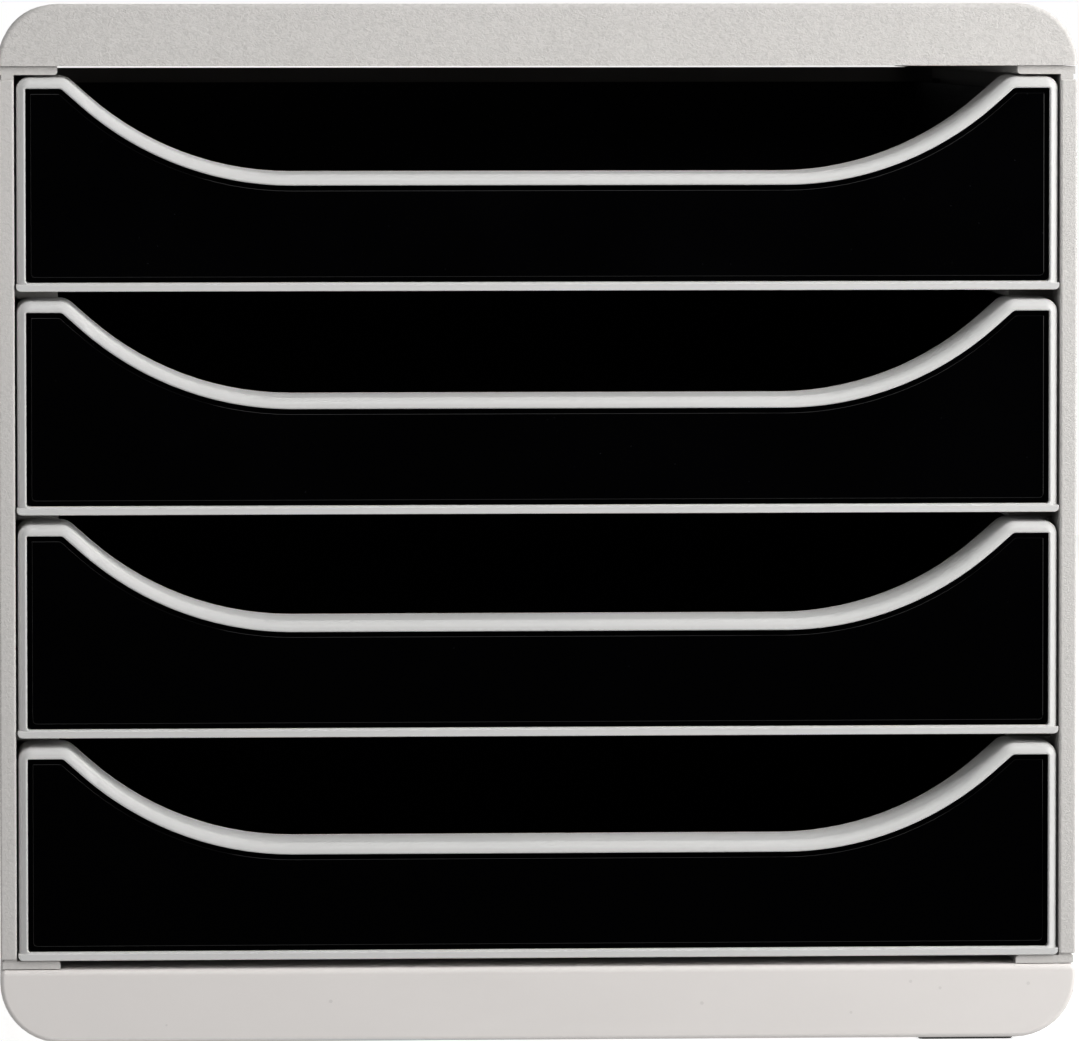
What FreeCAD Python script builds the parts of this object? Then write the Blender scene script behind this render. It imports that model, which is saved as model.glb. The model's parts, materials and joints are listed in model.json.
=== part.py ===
import FreeCAD, Part
import math
import os
import Sketcher

# Letter tray stack: a moulded casing (cover, base, two side panels, back panel,
# four rubber feet) with four identical drawers. Each drawer is a tray, a deep
# scooped front frame pushed over the tray's front wall, and a gloss plate in it.
# Frame of the part: +Z up, the fronts face -Y, origin at the middle of the
# footprint on the surface the feet stand on. Millimetres.

doc = FreeCAD.newDocument("letter_tray_stack")
V = FreeCAD.Vector

# ------------------------------------------------------------------ sheet
SIZES = [
    # casing
    ("casing_width", 278.0), ("casing_depth", 347.0), ("casing_height", 268.0),
    ("foot_proud", 0.8), ("base_top", 19.7), ("cover_bottom", 252.0),
    ("cap_corner_radius", 15.7), ("cap_edge_radius", 1.2), ("shell_wall", 2.5),
    ("base_lip_radius", 1.6), ("rib_wall", 1.6), ("rib_height", 2.4),
    ("land_height", 0.2), ("land_inner", 124.0), ("land_outer", 136.0), ("land_setback", 8.5),
    # side panels
    ("panel_outer", 138.9), ("panel_inner", 134.7), ("panel_front", 173.3), ("panel_back", 172.9),
    ("skin_low", 22.4), ("skin_high", 248.4), ("neck_outer", 137.9), ("flange_outer", 138.4),
    ("flange_reach", 123.5), ("flange_thick", 2.0), ("flange_low", 19.9), ("flange_high", 249.8),
    ("flange_end_radius", 0.9), ("panel_edge_radius", 0.6), ("skin_proud", 0.8), ("skin_end_radius", 0.4),
    ("ledge_thick", 2.2), ("ledge_drop", 0.2), ("ledge_front", 151.5), ("ledge_back", 169.2),
    ("bay_depth", 2.0), ("bay_front", 147.0), ("bay_back", 167.4), ("bay_low", 3.0), ("bay_high", 52.0),
    ("stop_back", 108.0), ("stop_length", 4.0), ("stop_reach", 132.0), ("stop_low", 19.0), ("stop_high", 33.0),
    ("peg_radius", 3.0), ("peg_length", 8.0), ("peg_offset", 130.0), ("peg_pitch", 120.0),
    ("peg_play", 0.06), ("socket_extra", 1.0),
    # back panel
    ("back_front", 169.5), ("back_thick", 2.2), ("back_side", 136.5), ("back_low", 22.1), ("back_high", 249.6),
    ("groove_play", 0.1), ("groove_bottom", 136.6),
    # feet
    ("foot_length", 25.0), ("foot_width", 13.0), ("foot_thick", 3.0), ("foot_mid_x", 110.75), ("foot_mid_y", 163.5),
    ("foot_play", 0.1), ("foot_wall", 1.8), ("foot_bevel", 0.5), ("foot_seat", 1.6),
    # drawers
    ("drawer_low", 22.1), ("drawer_pitch", 57.4), ("frame_half", 134.0), ("frame_height", 54.8),
    ("frame_front", 173.3), ("frame_depth", 19.8), ("frame_corner", 3.2), ("knee_radius", 4.5),
    ("scoop_flat", 63.5), ("scoop_level", 29.92), ("scoop_radius", 79.0), ("scoop_angle", 41.5),
    ("ring_side", 2.2), ("ring_top", 2.82), ("ring_low", 2.2), ("ring_recess", 3.0), ("frame_edge", 2.6),
    ("ring_edge", 0.38), ("recess_corner", 0.7),
    ("lip_half", 134.3), ("lip_front", 173.5), ("lip_height", 1.8), ("lip_corner", 1.2),
    ("frame_web", 1.5), ("frame_wall", 2.2), ("frame_draft", 1.6), ("hood_reach", 1.7), ("hood_half", 131.6),
    ("plate_gap", 0.12), ("plate_thick", 2.0), ("plate_step", 1.2), ("plate_step_depth", 0.35), ("plate_edge", 0.22), ("plate_corner", 1.15),
    # trays
    ("tray_half", 131.0), ("tray_height", 51.0), ("tray_back", 169.2), ("tray_wall", 1.8), ("tray_floor", 2.0),
    ("tray_corner", 3.0), ("tray_under_radius", 1.5), ("spigot_gap", 0.15), ("spigot_depth", 2.0),
    ("ear_front", 150.0), ("ear_length", 8.0), ("ear_reach", 133.8), ("ear_low", 22.0), ("ear_high", 30.0),
    ("rim_width", 0.8), ("rim_height", 2.0),
]

sheet = doc.addObject("Spreadsheet::Sheet", "Sizes")
for row, (alias, value) in enumerate(SIZES, start=1):
    sheet.set("A%d" % row, alias)
    sheet.set("B%d" % row, "%g" % value)
    sheet.setAlias("B%d" % row, alias)
doc.recompute()


class Dim:
    """A size that keeps its number and the expression that gives it."""

    def __init__(self, value, text):
        self.value = float(value)
        self.text = text

    def __add__(self, other):
        other = dim(other)
        return Dim(self.value + other.value, "(%s + %s)" % (self.text, other.text))

    __radd__ = __add__

    def __sub__(self, other):
        other = dim(other)
        return Dim(self.value - other.value, "(%s - %s)" % (self.text, other.text))

    def __rsub__(self, other):
        return dim(other) - self

    def __mul__(self, other):
        other = dim(other)
        return Dim(self.value * other.value, "(%s * %s)" % (self.text, other.text))

    __rmul__ = __mul__

    def __truediv__(self, other):
        other = dim(other)
        return Dim(self.value / other.value, "(%s / %s)" % (self.text, other.text))

    def __neg__(self):
        return Dim(-self.value, "(-1 * %s)" % self.text)


def dim(thing):
    if isinstance(thing, Dim):
        return thing
    return Dim(thing, ("%.6f" % thing).rstrip("0").rstrip("."))


def sine(angle):
    return Dim(math.sin(math.radians(angle.value)), "sin(%s)" % angle.text)


def cosine(angle):
    return Dim(math.cos(math.radians(angle.value)), "cos(%s)" % angle.text)


class Sizes:
    def __init__(self):
        for alias, value in SIZES:
            setattr(self, alias, Dim(value, "Sizes.%s" % alias))


S = Sizes()
HALF_W = S.casing_width / 2
HALF_D = S.casing_depth / 2

# ------------------------------------------------------------------ helpers
ROLES = {"XY": "XY_Plane", "XZ": "XZ_Plane", "YZ": "YZ_Plane"}


def new_body(label):
    body = doc.addObject("PartDesign::Body", label)
    body.Label = label
    return body


def origin_plane(body, plane):
    for feature in body.Origin.OriginFeatures:
        if feature.Role == ROLES[plane]:
            return feature
    raise RuntimeError("no plane " + plane)


def new_sketch(body, name, plane, level):
    """A sketch on one of the body's planes, at X, Y or Z = level."""
    sketch = body.newObject("Sketcher::SketchObject", name)
    sketch.AttachmentSupport = [(origin_plane(body, plane), "")]
    sketch.MapMode = "FlatFace"
    level = dim(level)
    if plane == "XZ":
        level = -level
    sketch.AttachmentOffset = FreeCAD.Placement(V(0, 0, level.value), FreeCAD.Rotation())
    sketch.setExpression("AttachmentOffset.Base.z", level.text)
    return sketch


def pin_vertex(sketch, geo, pos, x, y):
    """Fix a vertex at x, y, each bound to the sheet."""
    for kind, axis_geo, size in (("DistanceX", -2, x), ("DistanceY", -1, y)):
        if abs(size.value) < 1e-9:
            sketch.addConstraint(Sketcher.Constraint("PointOnObject", geo, pos, axis_geo))
        else:
            index = sketch.addConstraint(Sketcher.Constraint(kind, -1, 1, geo, pos, size.value))
            sketch.setExpression("Constraints[%d]" % index, size.text)


def wire(sketch, steps):
    """A closed wire. Each step is (x, y) for a corner reached by a line, or
    (x, y, radius, turn) for one reached by an arc, turn +1 for a left turn."""
    points = [(dim(step[0]), dim(step[1])) for step in steps]
    ids = []
    for i, step in enumerate(steps):
        ax, ay = points[i - 1]
        bx, by = points[i]
        a = V(ax.value, ay.value, 0)
        b = V(bx.value, by.value, 0)
        if len(step) == 2:
            ids.append((sketch.addGeometry(Part.LineSegment(a, b), False), 1, 2))
            continue
        radius, turn = dim(step[2]), step[3]
        chord = b - a
        half = chord.Length / 2
        rise = math.sqrt(max(radius.value ** 2 - half ** 2, 0.0))
        left = V(-chord.y, chord.x, 0).normalize()
        centre = (a + b) * 0.5 + left * (rise * turn)
        start = math.atan2(a.y - centre.y, a.x - centre.x)
        end = math.atan2(b.y - centre.y, b.x - centre.x)
        if turn < 0:
            start, end = end, start
        circle = Part.Circle(centre, V(0, 0, 1), radius.value)
        geo = sketch.addGeometry(Part.ArcOfCircle(circle, start, end), False)
        ids.append((geo, 1, 2) if turn > 0 else (geo, 2, 1))
        index = sketch.addConstraint(Sketcher.Constraint("Radius", geo, radius.value))
        sketch.setExpression("Constraints[%d]" % index, radius.text)
    for i, (geo, first, last) in enumerate(ids):
        after, after_first, after_last = ids[(i + 1) % len(ids)]
        sketch.addConstraint(Sketcher.Constraint("Coincident", geo, last, after, after_first))
        pin_vertex(sketch, geo, last, points[i][0], points[i][1])


def box_wire(sketch, x0, x1, y0, y1):
    wire(sketch, [(x1, y0), (x1, y1), (x0, y1), (x0, y0)])


def circle_wire(sketch, x, y, radius):
    x, y, radius = dim(x), dim(y), dim(radius)
    geo = sketch.addGeometry(Part.Circle(V(x.value, y.value, 0), V(0, 0, 1), radius.value), False)
    index = sketch.addConstraint(Sketcher.Constraint("Radius", geo, radius.value))
    sketch.setExpression("Constraints[%d]" % index, radius.text)
    pin_vertex(sketch, geo, 3, x, y)


def volume(body):
    return body.Shape.Volume if body.Shape and not body.Shape.isNull() else 0.0


def feature(body, kind, name, sketch, length, away, draft=None):
    """Pad or pocket of a sketch; away=True runs it against the default side."""
    before = volume(body)
    item = body.newObject("PartDesign::" + kind, name)
    item.Profile = sketch
    length = dim(length)
    item.Length = length.value
    item.setExpression("Length", length.text)
    item.Reversed = away
    if draft is not None:
        item.TaperAngle = draft.value
        item.setExpression("TaperAngle", draft.text)
    sketch.Visibility = False
    doc.recompute()
    after = volume(body)
    if kind == "Pad" and after <= before + 1e-3:
        raise RuntimeError("%s adds nothing to %s" % (name, body.Label))
    if kind == "Pocket" and after >= before - 1e-3:
        raise RuntimeError("%s cuts nothing from %s" % (name, body.Label))
    return item


def pad_y(body, name, y0, y1, draw, draft=None):
    sketch = new_sketch(body, name + "_sketch", "XZ", y0)
    draw(sketch)
    return feature(body, "Pad", name, sketch, dim(y1) - dim(y0), True, draft)


def pocket_y(body, name, y0, y1, draw):
    sketch = new_sketch(body, name + "_sketch", "XZ", y0)
    draw(sketch)
    return feature(body, "Pocket", name, sketch, dim(y1) - dim(y0), False)


def pad_z(body, name, z0, z1, draw):
    sketch = new_sketch(body, name + "_sketch", "XY", z0)
    draw(sketch)
    return feature(body, "Pad", name, sketch, dim(z1) - dim(z0), False)


def pocket_z(body, name, z0, z1, draw):
    sketch = new_sketch(body, name + "_sketch", "XY", z0)
    draw(sketch)
    return feature(body, "Pocket", name, sketch, dim(z1) - dim(z0), True)


def pad_x(body, name, x0, x1, draw):
    """From x0 to x1, either way round."""
    x0, x1 = dim(x0), dim(x1)
    sketch = new_sketch(body, name + "_sketch", "YZ", x0)
    draw(sketch)
    if x1.value > x0.value:
        return feature(body, "Pad", name, sketch, x1 - x0, False)
    return feature(body, "Pad", name, sketch, x0 - x1, True)


def pocket_x(body, name, x0, x1, draw):
    x0, x1 = dim(x0), dim(x1)
    sketch = new_sketch(body, name + "_sketch", "YZ", x0)
    draw(sketch)
    if x1.value > x0.value:
        return feature(body, "Pocket", name, sketch, x1 - x0, True)
    return feature(body, "Pocket", name, sketch, x0 - x1, False)


def stack(body, name, original, count, pitch):
    """Repeat a feature upwards at the drawer pitch."""
    before = volume(body)
    pattern = body.newObject("PartDesign::LinearPattern", name)
    pattern.Originals = [original]
    for item in body.Origin.OriginFeatures:
        if item.Role == "Z_Axis":
            pattern.Direction = (item, [""])
    pattern.Length = pitch.value * (count - 1)
    pattern.setExpression("Length", (pitch * (count - 1)).text)
    pattern.Occurrences = count
    body.Tip = pattern
    doc.recompute()
    if abs(volume(body) - before) < 1e-3:
        raise RuntimeError("%s repeats nothing on %s" % (name, body.Label))
    return pattern


def pick_edges(body, test):
    names = []
    for number, edge in enumerate(body.Tip.Shape.Edges, start=1):
        box = edge.BoundBox
        if test(edge, box):
            names.append("Edge%d" % number)
    return names


def round_edges(body, name, radius, test):
    names = pick_edges(body, test)
    if not names:
        raise RuntimeError("no edges for %s on %s" % (name, body.Label))
    support = body.Tip
    item = body.newObject("PartDesign::Fillet", name)
    item.Base = (support, names)
    radius = dim(radius)
    item.Radius = radius.value
    item.setExpression("Radius", radius.text)
    doc.recompute()
    return item


def flat_y(box, y, tolerance=0.01):
    return abs(box.YMin - y) < tolerance and abs(box.YMax - y) < tolerance


def flat_z(box, z, tolerance=0.01):
    return abs(box.ZMin - z) < tolerance and abs(box.ZMax - z) < tolerance


PEG_ROWS = [-S.peg_pitch, dim(0), S.peg_pitch]

# ------------------------------------------------------------------ cover and base


def cap_outline(sketch, inset, flat_level, far_level):
    """Front view of a cap: flat edge at flat_level, rounded corners at far_level."""
    up = 1 if dim(far_level).value > dim(flat_level).value else -1
    half = HALF_W - inset
    radius = S.cap_corner_radius - inset
    far = dim(far_level)
    near = far - radius if up > 0 else far + radius
    if up > 0:
        wire(sketch, [(half, flat_level), (half, near), (half - radius, far, radius, 1),
                      (-(half - radius), far), (-half, near, radius, 1), (-half, flat_level)])
    else:
        wire(sketch, [(-half, flat_level), (-half, near), (-(half - radius), far, radius, 1),
                      (half - radius, far), (half, near, radius, 1), (half, flat_level)])


def outline_edges(y):
    """Edges of the curved outline in the plane at y, leaving the flat edge."""
    def test(edge, box):
        return flat_y(box, y)
    return test


cover = new_body("top_cover")
pad_y(cover, "cover_block", -HALF_D, HALF_D,
      lambda sk: cap_outline(sk, dim(0), S.cover_bottom, S.casing_height))
round_edges(cover, "cover_edges", S.cap_edge_radius, lambda edge, box: (
    (flat_y(box, -HALF_D.value) or flat_y(box, HALF_D.value))
    and not flat_z(box, S.cover_bottom.value)))
pocket_y(cover, "cover_hollow", -(HALF_D - S.shell_wall), HALF_D - S.shell_wall,
         lambda sk: cap_outline(sk, S.shell_wall, S.cover_bottom, S.casing_height - S.shell_wall))
ceiling = S.casing_height - S.shell_wall
for side, sign in (("left", -1), ("right", 1)):
    inner = S.land_inner * sign
    outer = S.land_outer * sign
    low, high = (inner, outer) if sign > 0 else (outer, inner)
    pad_z(cover, "cover_land_" + side, S.cover_bottom - S.land_height, ceiling - 4.0,
          lambda sk, a=low, b=high: box_wire(sk, a, b, -(HALF_D - S.land_setback), HALF_D - S.land_setback))
    pad_z(cover, "cover_land_root_" + side, ceiling - 4.5, ceiling + 0.5,
          lambda sk, a=(inner if sign > 0 else -(S.land_outer - 5.5)), b=(S.land_outer - 5.5 if sign > 0 else inner):
          box_wire(sk, a, b, -(HALF_D - S.land_setback), HALF_D - S.land_setback))
    for number, along in enumerate(PEG_ROWS, start=1):
        pocket_z(cover, "cover_socket_%s_%d" % (side, number), S.cover_bottom - S.land_height,
                 S.cover_bottom - S.land_height + S.peg_length + S.socket_extra,
                 lambda sk, x=S.peg_offset * sign, y=along: circle_wire(sk, x, y, S.peg_radius + S.peg_play))
# shallow stiffening ribs under the top
for number, along in enumerate((-85.0, 0.0, 85.0), start=1):
    pad_z(cover, "cover_cross_rib_%d" % number, ceiling - S.rib_height, ceiling + 0.5,
          lambda sk, y=dim(along): box_wire(sk, -(S.land_inner + 0.5), S.land_inner + 0.5,
                                            y - S.rib_wall / 2, y + S.rib_wall / 2))
for number, across in enumerate((-62.0, 0.0, 62.0), start=1):
    pad_z(cover, "cover_long_rib_%d" % number, ceiling - S.rib_height, ceiling + 0.5,
          lambda sk, x=dim(across): box_wire(sk, x - S.rib_wall / 2, x + S.rib_wall / 2,
                                             -(HALF_D - S.shell_wall + 0.5), HALF_D - S.shell_wall + 0.5))

base = new_body("base")
pad_y(base, "base_block", -HALF_D, HALF_D,
      lambda sk: cap_outline(sk, dim(0), S.base_top, S.foot_proud))
round_edges(base, "base_edges", S.cap_edge_radius, lambda edge, box: (
    (flat_y(box, -HALF_D.value) or flat_y(box, HALF_D.value))
    and not flat_z(box, S.base_top.value)))
round_edges(base, "base_top_edge", S.base_lip_radius, lambda edge, box: (
    flat_z(box, S.base_top.value)))
# hollow from below: a block cut whose upper face is the underside of the deck
pocket_y(base, "base_hollow", -(HALF_D - S.shell_wall), HALF_D - S.shell_wall,
         lambda sk: wire(sk, [
             (-(HALF_W - S.cap_corner_radius), S.foot_proud - 1.0),
             (HALF_W - S.cap_corner_radius, S.foot_proud - 1.0),
             (HALF_W - S.cap_corner_radius, S.foot_proud + S.shell_wall),
             (HALF_W - S.shell_wall, S.foot_proud + S.cap_corner_radius - 2.0, S.cap_corner_radius, 1),
             (HALF_W - S.shell_wall, S.base_top - S.shell_wall),
             (-(HALF_W - S.shell_wall), S.base_top - S.shell_wall),
             (-(HALF_W - S.shell_wall), S.foot_proud + S.cap_corner_radius - 2.0),
             (-(HALF_W - S.cap_corner_radius), S.foot_proud + S.shell_wall, S.cap_corner_radius, 1)]))
deck = S.base_top - S.shell_wall
for side, sign in (("left", -1), ("right", 1)):
    low, high = (S.land_inner, S.land_outer) if sign > 0 else (-S.land_outer, -S.land_inner)
    pad_z(base, "base_land_" + side, S.base_top - 0.5, S.base_top + S.land_height,
          lambda sk, a=low, b=high: box_wire(sk, a, b, -(HALF_D - S.land_setback), HALF_D - S.land_setback))
    for number, along in enumerate(PEG_ROWS, start=1):
        x = S.peg_offset * sign
        pad_z(base, "base_boss_%s_%d" % (side, number), deck - 6.5, deck + 0.5,
              lambda sk, cx=x, cy=along: circle_wire(sk, cx, cy, S.peg_radius + 2.0))
        pocket_z(base, "base_socket_%s_%d" % (side, number), deck - 7.0, S.base_top + 1.0,
                 lambda sk, cx=x, cy=along: circle_wire(sk, cx, cy, S.peg_radius + S.peg_play))
# shallow stiffening ribs under the deck
for number, along in enumerate((-85.0, 0.0, 85.0), start=1):
    pad_z(base, "base_cross_rib_%d" % number, deck - S.rib_height, deck + 0.5,
          lambda sk, y=dim(along): box_wire(sk, -(S.land_inner - 6.5), S.land_inner - 6.5,
                                            y - S.rib_wall / 2, y + S.rib_wall / 2))
for number, across in enumerate((-62.0, 0.0, 62.0), start=1):
    pad_z(base, "base_long_rib_%d" % number, deck - S.rib_height, deck + 0.5,
          lambda sk, x=dim(across): box_wire(sk, x - S.rib_wall / 2, x + S.rib_wall / 2,
                                             -(HALF_D - S.shell_wall + 0.5), HALF_D - S.shell_wall + 0.5))
FEET = [("front_left", -1, -1), ("front_right", 1, -1), ("rear_left", -1, 1), ("rear_right", 1, 1)]
for label, sx, sy in FEET:
    cx, cy = S.foot_mid_x * sx, S.foot_mid_y * sy
    ox = S.foot_length / 2 + S.foot_play + S.foot_wall
    oy = S.foot_width / 2 + S.foot_play + S.foot_wall
    # walls that hold the foot, and the seat above it
    pad_z(base, "base_foot_block_" + label, S.foot_proud + 0.2, deck + 0.5,
          lambda sk, a=cx, b=cy: box_wire(sk, a - ox, a + ox, b - oy, b + oy))
    pocket_z(base, "base_foot_recess_" + label, S.foot_proud - 0.5, S.foot_thick,
             lambda sk, a=cx, b=cy: box_wire(sk, a - (ox - S.foot_wall), a + (ox - S.foot_wall),
                                             b - (oy - S.foot_wall), b + (oy - S.foot_wall)))
    # the block is open from side to side above the seat
    pocket_z(base, "base_foot_void_" + label, S.foot_thick + S.foot_seat, deck,
             lambda sk, a=cx, b=cy: box_wire(sk, a - (ox + 1.0), a + (ox + 1.0),
                                             b - (oy - S.foot_wall), b + (oy - S.foot_wall)))

feet = []
for label, sx, sy in FEET:
    foot = new_body("foot_" + label)
    hx, hy = S.foot_length / 2, S.foot_width / 2
    pad_z(foot, "pad_" + label, 0.0, S.foot_thick, lambda sk: box_wire(sk, -hx, hx, -hy, hy))
    round_edges(foot, "pad_corners_" + label, 2.0, lambda edge, box: box.ZLength > 1.0)
    names = pick_edges(foot, lambda edge, box: flat_z(box, 0.0))
    support = foot.Tip
    bevel = foot.newObject("PartDesign::Chamfer", "pad_bevel_" + label)
    bevel.Base = (support, names)
    bevel.Size = S.foot_bevel.value
    bevel.setExpression("Size", S.foot_bevel.text)
    foot.setExpression("Placement.Base.x", (S.foot_mid_x * sx).text)
    foot.setExpression("Placement.Base.y", (S.foot_mid_y * sy).text)
    doc.recompute()
    feet.append(foot)

# ------------------------------------------------------------------ side panels
panels = []
for side, sign in (("left", -1), ("right", 1)):
    panel = new_body(side + "_side_panel")
    panels.append(panel)
    low_top = S.flange_low + S.flange_thick
    high_top = S.flange_high + S.flange_thick
    section = [
        (S.flange_reach, S.flange_low), (S.flange_outer, S.flange_low), (S.flange_outer, low_top),
        (S.neck_outer, low_top), (S.neck_outer, S.skin_low), (S.panel_outer, S.skin_low),
        (S.panel_outer, S.skin_high), (S.neck_outer, S.skin_high), (S.neck_outer, S.flange_high),
        (S.flange_outer, S.flange_high), (S.flange_outer, high_top), (S.flange_reach, high_top),
        (S.flange_reach, S.flange_high), (S.panel_inner, S.flange_high), (S.panel_inner, low_top),
        (S.flange_reach, low_top)]
    pad_y(panel, side + "_wall", -(S.panel_front - S.skin_proud), S.panel_back,
          lambda sk, steps=section, sgn=sign: wire(sk, [(x * sgn, z) for x, z in steps]))
    # free ends of the flanges are rounded on the drawer side
    round_edges(panel, side + "_flange_ends", S.flange_end_radius, lambda edge, box, sgn=sign: (
        box.YLength > 300 and abs(box.XMin - sgn * S.flange_reach.value) < 0.01
        and abs(box.XMax - sgn * S.flange_reach.value) < 0.01
        and (flat_z(box, low_top.value) or flat_z(box, S.flange_high.value))))
    # front of the skin, proud of the flanges and of the neck, with rounded edges
    low, high = (S.panel_inner, S.panel_outer) if sign > 0 else (-S.panel_outer, -S.panel_inner)
    pad_y(panel, side + "_skin", -S.panel_front, -(S.panel_front - S.skin_proud - 1.0),
          lambda sk, a=low, b=high: box_wire(sk, a, b, S.skin_low, S.skin_high))
    round_edges(panel, side + "_front_edges", S.panel_edge_radius, lambda edge, box: (
        flat_y(box, -S.panel_front.value) and box.ZLength > 150))
    round_edges(panel, side + "_end_edges", S.skin_end_radius, lambda edge, box: (
        flat_y(box, -S.panel_front.value) and box.XLength > 1.0))
    # runner ledges of the three upper drawers; the lowest one runs on the flange
    ledge = pad_x(panel, side + "_ledge", (S.panel_inner + 0.5) * sign, S.flange_reach * sign,
                  lambda sk: box_wire(sk, -S.ledge_front, S.ledge_back,
                                      S.drawer_low + S.drawer_pitch - S.ledge_drop - S.ledge_thick,
                                      S.drawer_low + S.drawer_pitch - S.ledge_drop))
    stack(panel, side + "_ledges", ledge, 3, S.drawer_pitch)
    # the wall is thinned between the ledges, inside
    bay = pocket_x(panel, side + "_bay", S.panel_inner * sign, (S.panel_inner + S.bay_depth) * sign,
                   lambda sk: box_wire(sk, -S.bay_front, S.bay_back,
                                       S.drawer_low + S.bay_low, S.drawer_low + S.bay_high))
    stack(panel, side + "_bays", bay, 4, S.drawer_pitch)
    # pull-out stops
    stop = pad_x(panel, side + "_stop", (S.panel_inner + S.bay_depth + 0.5) * sign, S.stop_reach * sign,
                 lambda sk: box_wire(sk, -(S.stop_back + S.stop_length), -S.stop_back,
                                     S.drawer_low + S.stop_low, S.drawer_low + S.stop_high))
    stack(panel, side + "_stops", stop, 4, S.drawer_pitch)
    # groove of the back panel
    pocket_x(panel, side + "_back_groove", S.panel_inner * sign, S.groove_bottom * sign,
             lambda sk: box_wire(sk, S.back_front - S.groove_play, S.back_front + S.back_thick + S.groove_play,
                                 S.back_low - S.groove_play, S.back_high + S.groove_play))
    # pegs up into the cover and down into the base
    for number, along in enumerate(PEG_ROWS, start=1):
        pad_z(panel, "%s_top_peg_%d" % (side, number), high_top - 0.5, high_top + S.peg_length,
              lambda sk, x=S.peg_offset * sign, y=along: circle_wire(sk, x, y, S.peg_radius))
        pad_z(panel, "%s_base_peg_%d" % (side, number), S.flange_low - S.peg_length, S.flange_low + 0.5,
              lambda sk, x=S.peg_offset * sign, y=along: circle_wire(sk, x, y, S.peg_radius))

# ------------------------------------------------------------------ back panel
back = new_body("back_panel")
pad_y(back, "back_sheet", S.back_front, S.back_front + S.back_thick,
      lambda sk: box_wire(sk, -S.back_side, S.back_side, S.back_low, S.back_high))

# ------------------------------------------------------------------ drawers


def scoop_points(drop):
    """Points of the scooped top, set in by drop: level of the flats, middle and end of
    the knee, end of the long arc, level of the scoop, radii of the arc and the knee."""
    angle = S.scoop_angle
    top = S.frame_height - drop
    level = S.scoop_level - drop
    sweep = S.scoop_radius + drop
    knee = S.knee_radius - drop
    mid = S.scoop_level + S.scoop_radius
    # end of the long arc and start of the knee, on the slope
    arc_x = S.scoop_flat + sweep * sine(angle)
    arc_z = mid - sweep * cosine(angle)
    knee_z = S.frame_height - S.knee_radius + knee * cosine(angle)
    outer_arc_x = S.scoop_flat + S.scoop_radius * sine(angle)
    outer_arc_z = mid - S.scoop_radius * cosine(angle)
    outer_knee_z = S.frame_height - S.knee_radius + S.knee_radius * cosine(angle)
    knee_mid_x = (outer_arc_x + (outer_knee_z - outer_arc_z) * cosine(angle) / sine(angle)
                  + S.knee_radius * sine(angle))
    knee_x = knee_mid_x - knee * sine(angle)
    return top, knee_mid_x, knee_x, knee_z, arc_x, arc_z, level, sweep, knee


def front_outline(sketch, side, low, drop, low_corner):
    """Front view of a drawer front, set in by drop along the scooped top."""
    top, knee_mid_x, knee_x, knee_z, arc_x, arc_z, level, sweep, knee = scoop_points(drop)
    corner = S.frame_corner - drop
    steps = []
    if low_corner is None:
        steps += [(side, low)]
    else:
        steps += [(side - low_corner, low), (side, low + low_corner, low_corner, 1)]
    if corner.value > 0.2:
        steps += [(side, top - corner), (side - corner, top, corner, 1)]
    else:
        steps += [(side, top)]
    steps += [(knee_mid_x, top), (knee_x, knee_z, knee, 1), (arc_x, arc_z),
              (S.scoop_flat, level, sweep, -1), (-S.scoop_flat, level), (-arc_x, arc_z, sweep, -1),
              (-knee_x, knee_z), (-knee_mid_x, top, knee, 1)]
    if corner.value > 0.2:
        steps += [(-(side - corner), top), (-side, top - corner, corner, 1)]
    else:
        steps += [(-side, top)]
    if low_corner is None:
        steps += [(-side, low)]
    else:
        steps += [(-side, low + low_corner), (-(side - low_corner), low, low_corner, 1)]
    wire(sketch, steps)


def tangent(angle):
    return Dim(math.tan(math.radians(angle.value)), "tan(%s)" % angle.text)


def hood_strip(sketch, half, rise, thick):
    """The scooped top as a strip, raised by the draft of the block in front of it."""
    top, mid_x, knee_x, knee_z, arc_x, arc_z, level, sweep, knee = scoop_points(-rise)
    steps = [(half, top), (mid_x, top), (knee_x, knee_z, knee, 1), (arc_x, arc_z),
             (S.scoop_flat, level, sweep, -1), (-S.scoop_flat, level), (-arc_x, arc_z, sweep, -1),
             (-knee_x, knee_z), (-mid_x, top, knee, 1), (-half, top)]
    top, mid_x, knee_x, knee_z, arc_x, arc_z, level, sweep, knee = scoop_points(thick)
    steps += [(-half, top), (-mid_x, top), (-knee_x, knee_z, knee, -1), (-arc_x, arc_z),
              (-S.scoop_flat, level, sweep, 1), (S.scoop_flat, level), (arc_x, arc_z, sweep, 1),
              (knee_x, knee_z), (mid_x, top, knee, -1), (half, top)]
    wire(sketch, steps)


def scoop_cut(sketch, drop):
    """The scoop alone, open above the tray's rim."""
    angle = S.scoop_angle
    sweep = S.scoop_radius + drop
    mid = S.scoop_level + S.scoop_radius
    arc_x = S.scoop_flat + sweep * sine(angle)
    arc_z = mid - sweep * cosine(angle)
    high = S.frame_height + 3.0
    far_x = arc_x + (high - arc_z) * cosine(angle) / sine(angle)
    level = S.scoop_level - drop
    wire(sketch, [(S.scoop_flat, level), (arc_x, arc_z, sweep, 1), (far_x, high), (-far_x, high),
                  (-arc_x, arc_z), (-S.scoop_flat, level, sweep, 1)])


def front_ring_edge(edge, box):
    """Outer front edge of the frame, above the lip."""
    return flat_y(box, -S.frame_front.value) and box.ZMax > S.lip_height.value + 0.05


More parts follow.
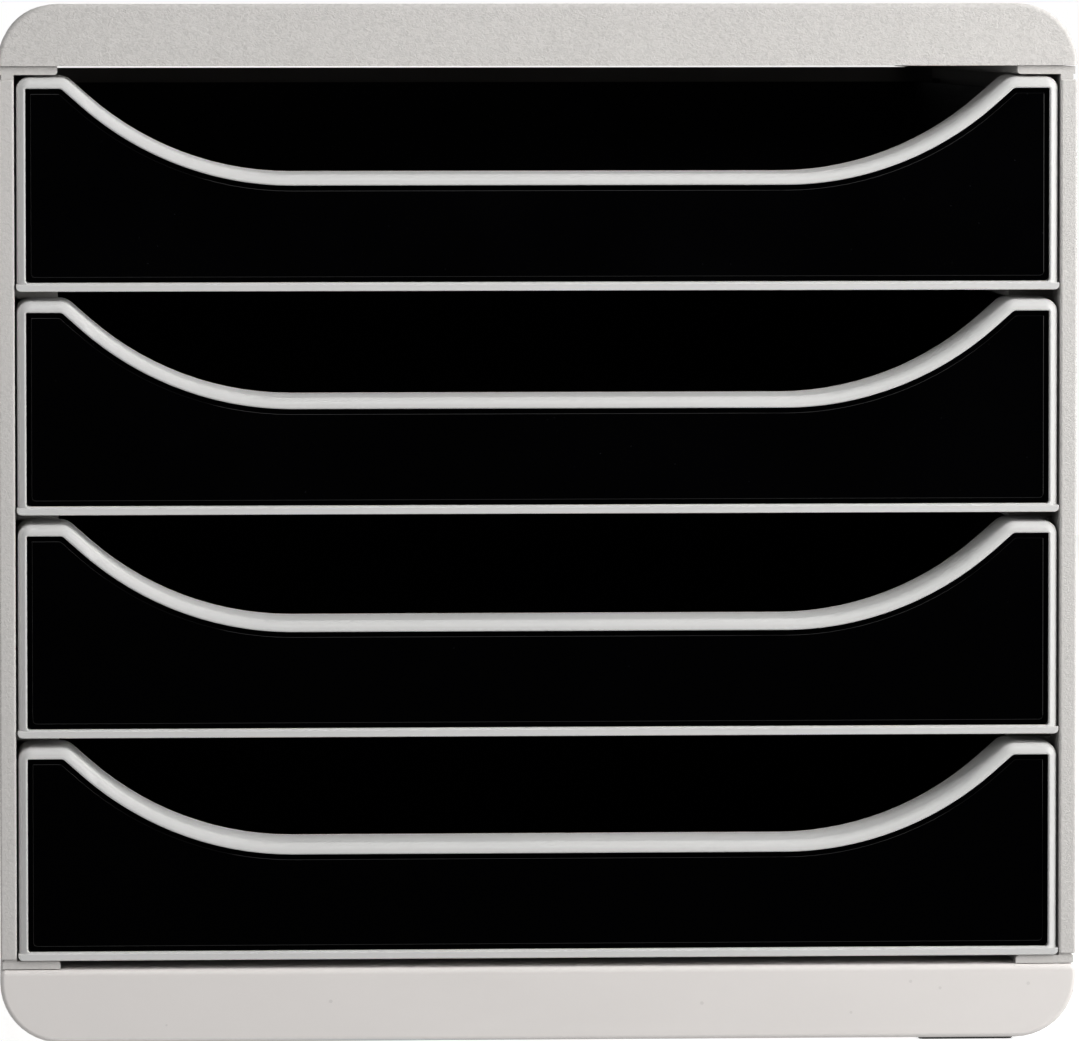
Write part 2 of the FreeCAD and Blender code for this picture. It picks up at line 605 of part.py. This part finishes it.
drawers = []
for number in (1, 2, 3, 4):
    rise = S.drawer_low + S.drawer_pitch * (4 - number)
    tag = "_%d" % number

    frame = new_body("front_frame" + tag)
    back_y = -(S.frame_front - S.frame_depth)
    pad_y(frame, "frame_block" + tag, -S.frame_front, back_y,
          lambda sk: front_outline(sk, S.frame_half, S.lip_height - 0.4, dim(0), None), S.frame_draft)
    round_edges(frame, "frame_round" + tag, S.frame_edge, lambda edge, box: (
        flat_y(box, -S.frame_front.value) and box.ZMax > S.lip_height.value + 0.05))
    pad_y(frame, "frame_lip" + tag, -S.lip_front, back_y,
          lambda sk: wire(sk, [(-(S.lip_half - S.lip_corner), 0.0), (S.lip_half - S.lip_corner, 0.0),
                               (S.lip_half, S.lip_corner, S.lip_corner, 1), (S.lip_half, S.lip_height),
                               (-S.lip_half, S.lip_height), (-S.lip_half, S.lip_corner),
                               (-(S.lip_half - S.lip_corner), 0.0, S.lip_corner, 1)][1:]))
    recess_floor = -(S.frame_front - S.ring_recess)
    pocket_y(frame, "frame_recess" + tag, -(S.lip_front + 1.0), recess_floor,
             lambda sk: front_outline(sk, S.frame_half - S.ring_side, S.ring_low, S.ring_top, S.recess_corner))
    round_edges(frame, "frame_recess_edge" + tag, S.ring_edge, lambda edge, box: (
        flat_y(box, -S.frame_front.value) and box.XMin > -(S.frame_half.value - S.ring_side.value + 0.05)
        and box.XMax < S.frame_half.value - S.ring_side.value + 0.05
        and box.ZMin > S.ring_low.value - 0.05 and box.ZMax < S.frame_height.value - S.ring_top.value + 0.05))
    round_edges(frame, "frame_lip_edge" + tag, 0.25, lambda edge, box: (
        flat_y(box, -S.lip_front.value)))
    pocket_y(frame, "frame_cavity" + tag, recess_floor + S.frame_web, back_y + 1.0,
             lambda sk: front_outline(sk, S.frame_half - S.frame_wall, S.frame_wall, S.frame_wall, None))
    # the top wall reaches back over the tray's front wall
    pad_y(frame, "frame_hood" + tag, back_y - 0.5, back_y + S.hood_reach,
          lambda sk: hood_strip(sk, S.hood_half, S.frame_depth * tangent(S.frame_draft), S.frame_wall))
    frame.setExpression("Placement.Base.z", rise.text)

    plate = new_body("front_panel" + tag)
    drop = S.ring_top + S.plate_gap
    plate_front = recess_floor - S.plate_thick
    pad_y(plate, "plate_block" + tag, plate_front + S.plate_step_depth, recess_floor,
          lambda sk: front_outline(sk, S.frame_half - S.ring_side - S.plate_gap, S.ring_low + S.plate_gap,
                                   drop, S.plate_corner))
    # a raised field, set in all round
    pad_y(plate, "plate_field" + tag, plate_front, plate_front + S.plate_step_depth + 0.5,
          lambda sk: front_outline(sk, S.frame_half - S.ring_side - S.plate_gap - S.plate_step,
                                   S.ring_low + S.plate_gap + S.plate_step, drop + S.plate_step, S.plate_corner))
    round_edges(plate, "plate_field_edge" + tag, S.plate_edge, lambda edge, box: (
        flat_y(box, plate_front.value)))
    plate.setExpression("Placement.Base.z", rise.text)
    doc.recompute()

    tray = new_body("tray" + tag)
    pad_y(tray, "tray_block" + tag, back_y, S.tray_back,
          lambda sk: box_wire(sk, -S.tray_half, S.tray_half, 0.0, S.tray_height))
    round_edges(tray, "tray_under" + tag, S.tray_under_radius, lambda edge, box: (
        flat_z(box, 0.0) and box.YLength > 100))
    pocket_z(tray, "tray_inside" + tag, S.tray_floor, S.tray_height + 1.0,
             lambda sk: box_wire(sk, -(S.tray_half - S.tray_wall), S.tray_half - S.tray_wall,
                                 back_y + S.tray_wall, S.tray_back - S.tray_wall))
    round_edges(tray, "tray_inner_corners" + tag, S.tray_corner, lambda edge, box: (
        box.ZLength > 40 and abs(abs(box.XMin) - (S.tray_half.value - S.tray_wall.value)) < 0.01
        and (abs(box.YMin - (back_y + S.tray_wall).value) < 0.01
             or abs(box.YMin - (S.tray_back - S.tray_wall).value) < 0.01)))
    pad_y(tray, "tray_spigot" + tag, back_y - S.spigot_depth, back_y + 0.5,
          lambda sk: front_outline(sk, S.frame_half - S.frame_wall - S.spigot_gap,
                                   S.frame_wall + S.spigot_gap, S.frame_wall + S.spigot_gap, None))
    pocket_y(tray, "tray_scoop" + tag, back_y - 0.1, back_y + S.tray_wall + 8.0,
             lambda sk: scoop_cut(sk, S.frame_wall + S.spigot_gap))
    for side, sign in (("left", -1), ("right", 1)):
        pad_x(tray, "tray_ear_%s%s" % (side, tag), (S.tray_half - 0.5) * sign, S.ear_reach * sign,
              lambda sk: box_wire(sk, S.ear_front, S.ear_front + S.ear_length, S.ear_low, S.ear_high))
    tray.setExpression("Placement.Base.z", rise.text)
    drawers += [frame, plate, tray]

doc.recompute()

# ------------------------------------------------------------------ checks and files
bodies = [cover, base] + panels + [back] + feet + drawers
broken = []
for item in doc.Objects:
    if "Invalid" in item.State or "Error" in item.State:
        broken.append("%s: %s" % (item.Name, item.State))
for body in bodies:
    shape = body.Shape
    if shape.isNull() or not shape.isValid() or len(shape.Solids) != 1 or shape.Volume < 1.0:
        broken.append("%s: shape is not one valid solid" % body.Label)
if broken:
    raise RuntimeError("not written: " + "; ".join(broken))

os.makedirs("parts", exist_ok=True)
for body in bodies:
    body.Shape.exportStep("parts/%s.step" % body.Label)
    box = body.Shape.BoundBox
    print("%-18s x %.2f..%.2f  y %.2f..%.2f  z %.2f..%.2f  volume %.1f" % (
        body.Label, box.XMin, box.XMax, box.YMin, box.YMax, box.ZMin, box.ZMax, body.Shape.Volume))
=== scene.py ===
import json
import math

import bmesh
import bpy
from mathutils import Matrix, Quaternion, Vector

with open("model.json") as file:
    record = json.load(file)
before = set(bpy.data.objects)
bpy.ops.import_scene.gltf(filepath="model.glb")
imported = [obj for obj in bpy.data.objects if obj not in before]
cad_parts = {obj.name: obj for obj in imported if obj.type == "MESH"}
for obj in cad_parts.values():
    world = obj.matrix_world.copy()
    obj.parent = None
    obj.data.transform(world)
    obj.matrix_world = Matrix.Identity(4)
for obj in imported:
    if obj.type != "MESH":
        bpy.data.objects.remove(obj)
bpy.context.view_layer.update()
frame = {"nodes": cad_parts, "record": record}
nodes = frame["nodes"]

scene = bpy.context.scene
scene.view_settings.view_transform = "Standard"
scene.view_settings.look = "None"
scene.view_settings.exposure = 0.0
scene.view_settings.gamma = 1.0

# ------------------------------------------------------------------ camera
# Near the upper left corner of the front and far off, so the top and the left side are
# almost edge-on and the front fills the picture.
EYE = Vector((-0.1339, -0.1735 - 2.409, 0.2660))
AIM = Vector((0.00014, -0.1735, 0.13513))
ROLL = math.radians(-0.04)
cam_data = bpy.data.cameras.new("camera")
camera = bpy.data.objects.new("camera", cam_data)
scene.collection.objects.link(camera)
scene.camera = camera
camera.location = EYE
camera.rotation_mode = "QUATERNION"
camera.rotation_quaternion = (AIM - EYE).to_track_quat("-Z", "Y") @ Quaternion((0.0, 0.0, 1.0), ROLL)
cam_data.sensor_width = 36.0
cam_data.lens = 36.0 * (AIM - EYE).length / 0.27795
cam_data.clip_start = 0.05
cam_data.clip_end = 50.0

# ------------------------------------------------------------------ node helpers


def new_material(name):
    mat = bpy.data.materials.new(name)
    mat.use_nodes = True
    tree = mat.node_tree
    tree.nodes.clear()
    out = tree.nodes.new("ShaderNodeOutputMaterial")
    bsdf = tree.nodes.new("ShaderNodeBsdfPrincipled")
    tree.links.new(bsdf.outputs["BSDF"], out.inputs["Surface"])
    return mat, tree, bsdf


def coords(tree, scale=(1.0, 1.0, 1.0)):
    tc = tree.nodes.new("ShaderNodeTexCoord")
    mp = tree.nodes.new("ShaderNodeMapping")
    mp.inputs["Scale"].default_value = scale
    tree.links.new(tc.outputs["Object"], mp.inputs["Vector"])
    return mp.outputs["Vector"]


def noise(tree, vector, scale, detail=3.0, rough=0.55, distortion=0.0):
    n = tree.nodes.new("ShaderNodeTexNoise")
    n.inputs["Scale"].default_value = scale
    n.inputs["Detail"].default_value = detail
    n.inputs["Roughness"].default_value = rough
    n.inputs["Distortion"].default_value = distortion
    tree.links.new(vector, n.inputs["Vector"])
    return n.outputs["Fac"]


def ramp(tree, fac, stops):
    r = tree.nodes.new("ShaderNodeValToRGB")
    r.color_ramp.interpolation = "LINEAR"
    elements = r.color_ramp.elements
    while len(elements) < len(stops):
        elements.new(0.5)
    for e, (pos, colour) in zip(elements, stops):
        e.position = pos
        e.color = tuple(colour) + (1.0,) if len(colour) == 3 else colour
    tree.links.new(fac, r.inputs["Fac"])
    return r.outputs["Color"]


def span(tree, fac, low, high, to_low, to_high):
    m = tree.nodes.new("ShaderNodeMapRange")
    m.inputs["From Min"].default_value = low
    m.inputs["From Max"].default_value = high
    m.inputs["To Min"].default_value = to_low
    m.inputs["To Max"].default_value = to_high
    tree.links.new(fac, m.inputs["Value"])
    return m.outputs["Result"]


def math_node(tree, op, a, b=None):
    m = tree.nodes.new("ShaderNodeMath")
    m.operation = op
    for socket, value in zip(m.inputs, (a, b)):
        if value is None:
            continue
        if isinstance(value, (int, float)):
            socket.default_value = value
        else:
            tree.links.new(value, socket)
    return m.outputs[0]


def bump(tree, height, strength, distance, normal=None):
    b = tree.nodes.new("ShaderNodeBump")
    b.inputs["Strength"].default_value = strength
    b.inputs["Distance"].default_value = distance
    tree.links.new(height, b.inputs["Height"])
    if normal is not None:
        tree.links.new(normal, b.inputs["Normal"])
    return b.outputs["Normal"]


def mix_colour(tree, fac, a, b, blend="MIX"):
    m = tree.nodes.new("ShaderNodeMix")
    m.data_type = "RGBA"
    m.blend_type = blend
    if isinstance(fac, (int, float)):
        m.inputs[0].default_value = fac
    else:
        tree.links.new(fac, m.inputs[0])
    for socket, value in ((m.inputs[6], a), (m.inputs[7], b)):
        if isinstance(value, tuple):
            socket.default_value = value + (1.0,)
        else:
            tree.links.new(value, socket)
    return m.outputs[2]


# ------------------------------------------------------------------ materials


def specks(tree, vector, scale, share, reach):
    """Mask of sparse small round grains: a cell shows one when its random number is high."""
    cells = tree.nodes.new("ShaderNodeTexVoronoi")
    cells.feature = "F1"
    cells.inputs["Scale"].default_value = scale
    tree.links.new(vector, cells.inputs["Vector"])
    pick = tree.nodes.new("ShaderNodeSeparateColor")
    tree.links.new(cells.outputs["Color"], pick.inputs["Color"])
    size = span(tree, pick.outputs["Green"], 0.0, 1.0, reach * 0.35, reach)
    near = math_node(tree, "LESS_THAN", cells.outputs["Distance"], size)
    chosen = math_node(tree, "GREATER_THAN", pick.outputs["Red"], share)
    return math_node(tree, "MULTIPLY", near, chosen), pick.outputs["Blue"]


def cover_material():
    """Warm grey moulding with the strong, short-streaked grain of a spark-eroded mould."""
    mat, tree, bsdf = new_material("cover_grained_plastic")
    base = coords(tree)
    blotch = noise(tree, base, 26.0, 3.0, 0.55)
    tone = ramp(tree, blotch, [(0.3, (0.700, 0.680, 0.664)), (0.7, (0.722, 0.702, 0.686))])
    grain_a = noise(tree, coords(tree, (1.0, 1.0, 1.35)), 820.0, 3.0, 0.62, 1.1)
    grain_b = noise(tree, base, 1750.0, 2.0, 0.6, 0.4)
    pits = span(tree, grain_a, 0.34, 0.60, 0.30, 0.0)
    tone = mix_colour(tree, pits, tone, (0.40, 0.395, 0.38))
    tree.links.new(tone, bsdf.inputs["Base Color"])
    tree.links.new(span(tree, grain_b, 0.3, 0.7, 0.46, 0.60), bsdf.inputs["Roughness"])
    height = math_node(tree, "ADD", grain_a, math_node(tree, "MULTIPLY", grain_b, 0.35))
    tree.links.new(bump(tree, height, 0.85, 0.00026), bsdf.inputs["Normal"])
    bsdf.inputs["Specular IOR Level"].default_value = 0.35
    bsdf.inputs["Diffuse Roughness"].default_value = 0.5
    return mat


def panel_material():
    """The same plastic with a finer, flatter grain."""
    mat, tree, bsdf = new_material("panel_grained_plastic")
    base = coords(tree)
    blotch = noise(tree, coords(tree, (1.0, 1.0, 0.4)), 30.0, 3.0, 0.55)
    tone = ramp(tree, blotch, [(0.3, (0.664, 0.647, 0.632)), (0.7, (0.685, 0.668, 0.651))])
    grain_a = noise(tree, coords(tree, (1.0, 1.0, 1.2)), 900.0, 3.0, 0.6, 0.9)
    grain_b = noise(tree, base, 1900.0, 2.0, 0.6)
    pits = span(tree, grain_a, 0.34, 0.58, 0.18, 0.0)
    tone = mix_colour(tree, pits, tone, (0.42, 0.415, 0.40))
    tree.links.new(tone, bsdf.inputs["Base Color"])
    tree.links.new(span(tree, grain_b, 0.3, 0.7, 0.46, 0.58), bsdf.inputs["Roughness"])
    height = math_node(tree, "ADD", grain_a, math_node(tree, "MULTIPLY", grain_b, 0.3))
    tree.links.new(bump(tree, height, 0.60, 0.00020), bsdf.inputs["Normal"])
    bsdf.inputs["Specular IOR Level"].default_value = 0.35
    bsdf.inputs["Diffuse Roughness"].default_value = 0.5
    return mat


def base_material():
    """The plinth's plastic: smooth, with a breath of cloudiness and a few settled grains."""
    mat, tree, bsdf = new_material("base_smooth_plastic")
    base = coords(tree)
    blotch = noise(tree, coords(tree, (0.6, 1.0, 1.0)), 34.0, 4.0, 0.6, 0.5)
    tone = ramp(tree, blotch, [(0.3, (0.836, 0.804, 0.786)), (0.7, (0.852, 0.820, 0.802))])
    mark, kind = specks(tree, base, 260.0, 0.90, 0.13)
    tone = mix_colour(tree, math_node(tree, "MULTIPLY", mark, 0.16), tone, (0.30, 0.29, 0.27))
    tree.links.new(tone, bsdf.inputs["Base Color"])
    fine = noise(tree, base, 1500.0, 3.0, 0.6)
    tree.links.new(span(tree, blotch, 0.3, 0.7, 0.42, 0.52), bsdf.inputs["Roughness"])
    tree.links.new(bump(tree, fine, 0.07, 0.00010), bsdf.inputs["Normal"])
    bsdf.inputs["Specular IOR Level"].default_value = 0.35
    bsdf.inputs["Diffuse Roughness"].default_value = 0.5
    return mat


def back_material():
    """Extruded sheet in the casing's grey, with faint lines along its height."""
    mat, tree, bsdf = new_material("back_sheet_plastic")
    base = coords(tree)
    lines = noise(tree, coords(tree, (1.0, 1.0, 0.02)), 420.0, 3.0, 0.6)
    cloud = noise(tree, base, 14.0, 3.0, 0.55)
    tone = ramp(tree, cloud, [(0.3, (0.650, 0.632, 0.616)), (0.7, (0.682, 0.664, 0.648))])
    tone = mix_colour(tree, span(tree, lines, 0.5, 0.8, 0.0, 0.16), tone, (0.56, 0.555, 0.54))
    tree.links.new(tone, bsdf.inputs["Base Color"])
    tree.links.new(span(tree, lines, 0.3, 0.7, 0.42, 0.58), bsdf.inputs["Roughness"])
    tree.links.new(bump(tree, lines, 0.20, 0.00012), bsdf.inputs["Normal"])
    bsdf.inputs["Specular IOR Level"].default_value = 0.35
    return mat


def frame_material():
    """Smooth satin light grey moulding with faint flow lines and handling marks."""
    mat, tree, bsdf = new_material("frame_satin_plastic")
    base = coords(tree)
    flow = noise(tree, coords(tree, (0.35, 1.0, 1.0)), 60.0, 3.0, 0.55, 0.4)
    tone = ramp(tree, flow, [(0.3, (0.700, 0.700, 0.696)), (0.7, (0.722, 0.720, 0.714))])
    dirt = noise(tree, base, 420.0, 2.0, 0.6)
    tone = mix_colour(tree, span(tree, dirt, 0.64, 0.82, 0.0, 0.10), tone, (0.52, 0.515, 0.50))
    tree.links.new(tone, bsdf.inputs["Base Color"])
    tree.links.new(span(tree, flow, 0.3, 0.7, 0.32, 0.40), bsdf.inputs["Roughness"])
    fine = noise(tree, base, 1500.0, 2.0, 0.5)
    wave = noise(tree, coords(tree, (0.5, 1.0, 1.0)), 45.0, 1.0, 0.5)
    height = math_node(tree, "ADD", wave, math_node(tree, "MULTIPLY", fine, 0.05))
    tree.links.new(bump(tree, height, 0.04, 0.0003), bsdf.inputs["Normal"])
    bsdf.inputs["Specular IOR Level"].default_value = 0.40
    bsdf.inputs["Diffuse Roughness"].default_value = 0.6
    return mat


def plate_material():
    """Polished black plate with settled dust, more of it on the upper drawers."""
    mat, tree, bsdf = new_material("plate_gloss_black")
    base = coords(tree)
    split = tree.nodes.new("ShaderNodeSeparateXYZ")
    tree.links.new(base, split.inputs["Vector"])
    rise = span(tree, split.outputs["Z"], 0.06, 0.21, 0.12, 1.0)
    cloud = noise(tree, base, 17.0, 3.0, 0.6)
    place = math_node(tree, "MULTIPLY", rise, span(tree, cloud, 0.40, 0.62, 0.15, 1.0))
    small, small_tint = specks(tree, base, 420.0, 0.55, 0.085)
    large, large_tint = specks(tree, base, 150.0, 0.90, 0.050)
    grain = math_node(tree, "ADD", math_node(tree, "MULTIPLY", small, math_node(tree, "MULTIPLY", small_tint, 0.035)),
                      math_node(tree, "MULTIPLY", large, math_node(tree, "MULTIPLY", large_tint, 0.30)))
    dust = math_node(tree, "MULTIPLY", grain, place)
    film = math_node(tree, "MULTIPLY", place, 0.0016)
    tone = mix_colour(tree, film, (0.00035, 0.00035, 0.00050), (0.30, 0.30, 0.38))
    tone = mix_colour(tree, dust, tone, (0.62, 0.64, 0.70))
    tree.links.new(tone, bsdf.inputs["Base Color"])
    tree.links.new(span(tree, cloud, 0.35, 0.75, 0.055, 0.11), bsdf.inputs["Roughness"])
    wave = noise(tree, base, 16.0, 1.0, 0.5)
    tree.links.new(bump(tree, wave, 0.05, 0.0004), bsdf.inputs["Normal"])
    bsdf.inputs["Specular IOR Level"].default_value = 0.30
    return mat


def tray_material():
    """Black satin polystyrene of the trays, faintly cool, with soft drag marks along the slide."""
    mat, tree, bsdf = new_material("tray_satin_black")
    base = coords(tree)
    drag = noise(tree, coords(tree, (1.0, 0.06, 1.0)), 260.0, 3.0, 0.6)
    cloud = noise(tree, base, 11.0, 3.0, 0.6)
    fine = noise(tree, base, 900.0, 3.0, 0.6)
    tone = ramp(tree, cloud, [(0.3, (0.0310, 0.0320, 0.0390)), (0.75, (0.0380, 0.0390, 0.0480))])
    tone = mix_colour(tree, span(tree, fine, 0.40, 0.68, 0.0, 0.30), tone, (0.050, 0.052, 0.062))
    tone = mix_colour(tree, span(tree, drag, 0.60, 0.78, 0.0, 0.18), tone, (0.064, 0.065, 0.072))
    tree.links.new(tone, bsdf.inputs["Base Color"])
    tree.links.new(span(tree, drag, 0.3, 0.75, 0.38, 0.52), bsdf.inputs["Roughness"])
    tree.links.new(bump(tree, fine, 0.30, 0.00010), bsdf.inputs["Normal"])
    bsdf.inputs["Specular IOR Level"].default_value = 0.35
    return mat


def rubber_material():
    mat, tree, bsdf = new_material("foot_rubber")
    base = coords(tree)
    cloud = noise(tree, base, 240.0, 4.0, 0.6)
    tone = ramp(tree, cloud, [(0.3, (0.030, 0.030, 0.030)), (0.7, (0.052, 0.050, 0.048))])
    tree.links.new(tone, bsdf.inputs["Base Color"])
    tree.links.new(span(tree, cloud, 0.3, 0.7, 0.75, 0.92), bsdf.inputs["Roughness"])
    tree.links.new(bump(tree, noise(tree, base, 1600.0, 3.0, 0.6), 0.35, 0.00015), bsdf.inputs["Normal"])
    return mat


def floor_material():
    mat, tree, bsdf = new_material("floor_pale")
    base = coords(tree)
    tone = ramp(tree, noise(tree, base, 3.0, 3.0, 0.5), [(0.3, (0.80, 0.80, 0.795)), (0.7, (0.83, 0.83, 0.825))])
    tree.links.new(tone, bsdf.inputs["Base Color"])
    bsdf.inputs["Roughness"].default_value = 0.7
    bsdf.inputs["Specular IOR Level"].default_value = 0.2
    bsdf.inputs["Emission Color"].default_value = (1.0, 1.0, 0.995, 1.0)
    bsdf.inputs["Emission Strength"].default_value = 0.72
    return mat


FINISH = {"frame": frame_material(), "plate": plate_material(), "tray": tray_material(),
          "rubber": rubber_material()}
panel_finish = panel_material()
CASING = {"top_cover": cover_material(), "base": base_material(), "left_side_panel": panel_finish,
          "right_side_panel": panel_finish, "back_panel": back_material()}
slot_of = {part["node"]: part["material_slot"] for part in frame["record"]["subparts"]}
for name, obj in nodes.items():
    finish = CASING[name] if name in CASING else FINISH[slot_of[name]]
    if not obj.material_slots:
        obj.data.materials.append(finish)
    for slot in obj.material_slots:
        slot.material = finish

# ------------------------------------------------------------------ floor
mesh = bpy.data.meshes.new("floor")
bm = bmesh.new()
bmesh.ops.create_circle(bm, cap_ends=True, radius=2.2, segments=96)
bm.to_mesh(mesh)
bm.free()
floor = bpy.data.objects.new("floor", mesh)
scene.collection.objects.link(floor)
floor.location = (0.0, 0.0, 0.0)
floor.data.materials.append(floor_material())
# the pale floor is seen, but throws no light back onto the object
floor.visible_glossy = False
floor.visible_diffuse = False

# ------------------------------------------------------------------ light
ROOM = 0.20
world = bpy.data.worlds.new("studio")
scene.world = world
world.use_nodes = True
wt = world.node_tree
wt.nodes.clear()
w_out = wt.nodes.new("ShaderNodeOutputWorld")
w_seen = wt.nodes.new("ShaderNodeBackground")
w_seen.inputs["Color"].default_value = (1.0, 1.0, 1.0, 1.0)
w_seen.inputs["Strength"].default_value = 1.0
w_fill = wt.nodes.new("ShaderNodeBackground")
w_fill.inputs["Color"].default_value = (1.0, 1.0, 1.0, 1.0)
# grey room, dark in front of the object, so the black fronts reflect nothing bright
w_place = wt.nodes.new("ShaderNodeTexCoord")
w_split = wt.nodes.new("ShaderNodeSeparateXYZ")
wt.links.new(w_place.outputs["Generated"], w_split.inputs["Vector"])
w_shade = wt.nodes.new("ShaderNodeMapRange")
w_shade.interpolation_type = "SMOOTHSTEP"
w_shade.inputs["From Min"].default_value = -0.92
w_shade.inputs["From Max"].default_value = -0.60
w_shade.inputs["To Min"].default_value = 0.01
w_shade.inputs["To Max"].default_value = ROOM
wt.links.new(w_split.outputs["Y"], w_shade.inputs["Value"])
# what a pale table top gives back from below, more on the lit side
w_low = wt.nodes.new("ShaderNodeMapRange")
w_low.interpolation_type = "SMOOTHSTEP"
w_low.inputs["From Min"].default_value = -0.16
w_low.inputs["From Max"].default_value = -0.48
w_low.inputs["To Min"].default_value = 0.0
w_low.inputs["To Max"].default_value = 1.0
wt.links.new(w_split.outputs["Z"], w_low.inputs["Value"])
w_side = wt.nodes.new("ShaderNodeMapRange")
w_side.inputs["From Min"].default_value = -0.9
w_side.inputs["From Max"].default_value = 0.9
w_side.inputs["To Min"].default_value = 0.24
w_side.inputs["To Max"].default_value = 0.86
wt.links.new(w_split.outputs["X"], w_side.inputs["Value"])
w_table = wt.nodes.new("ShaderNodeMath")
w_table.operation = "MULTIPLY_ADD"
wt.links.new(w_low.outputs["Result"], w_table.inputs[0])
wt.links.new(w_side.outputs["Result"], w_table.inputs[1])
wt.links.new(w_shade.outputs["Result"], w_table.inputs[2])
wt.links.new(w_table.outputs["Value"], w_fill.inputs["Strength"])
w_path = wt.nodes.new("ShaderNodeLightPath")
w_mix = wt.nodes.new("ShaderNodeMixShader")
wt.links.new(w_path.outputs["Is Camera Ray"], w_mix.inputs["Fac"])
wt.links.new(w_fill.outputs["Background"], w_mix.inputs[1])
wt.links.new(w_seen.outputs["Background"], w_mix.inputs[2])
wt.links.new(w_mix.outputs["Shader"], w_out.inputs["Surface"])


def area_light(name, place, aim, size_x, size_y, power, colour=(1.0, 1.0, 1.0)):
    data = bpy.data.lights.new(name, "AREA")
    data.shape = "RECTANGLE"
    data.size = size_x
    data.size_y = size_y
    data.energy = power
    data.color = colour
    lamp = bpy.data.objects.new(name, data)
    scene.collection.objects.link(lamp)
    lamp.location = place
    lamp.rotation_mode = "QUATERNION"
    lamp.rotation_quaternion = (Vector(aim) - Vector(place)).to_track_quat("-Z", "Y")
    return lamp


def lamp_round_front(name, azimuth, elevation, away, size, power, colour=(1.0, 1.0, 1.0)):
    """A square lamp aimed at the middle of the front: azimuth to the right, elevation up, in degrees."""
    turn, rise = math.radians(azimuth), math.radians(elevation)
    middle = Vector((0.0, -0.17, 0.13))
    place = middle + away * Vector((math.sin(turn) * math.cos(rise), -math.cos(turn) * math.cos(rise), math.sin(rise)))
    return area_light(name, place, middle, size, size, power, colour)


lamp_round_front("key", 52.0, 32.0, 1.05, 0.45, 4.0, (1.0, 0.995, 0.98))
lamp_round_front("side", 85.0, 30.0, 1.0, 0.45, 3.3, (1.0, 0.99, 0.97))
lamp_round_front("high", -8.0, 54.0, 1.1, 0.50, 2.5)
lamp_round_front("low_right", 60.0, 14.0, 1.0, 0.45, 2.3, (1.0, 0.99, 0.975))
lamp_round_front("table_right", 58.0, 4.0, 0.78, 0.36, 1.6, (1.0, 0.985, 0.965))
low_left = lamp_round_front("low_left", -26.0, 18.0, 1.3, 0.45, 1.9, (0.985, 0.99, 1.0))
low_left.visible_glossy = False
area_light("back", (0.5, 1.5, 1.1), (0.0, 0.1, 0.14), 1.4, 1.0, 10.0)
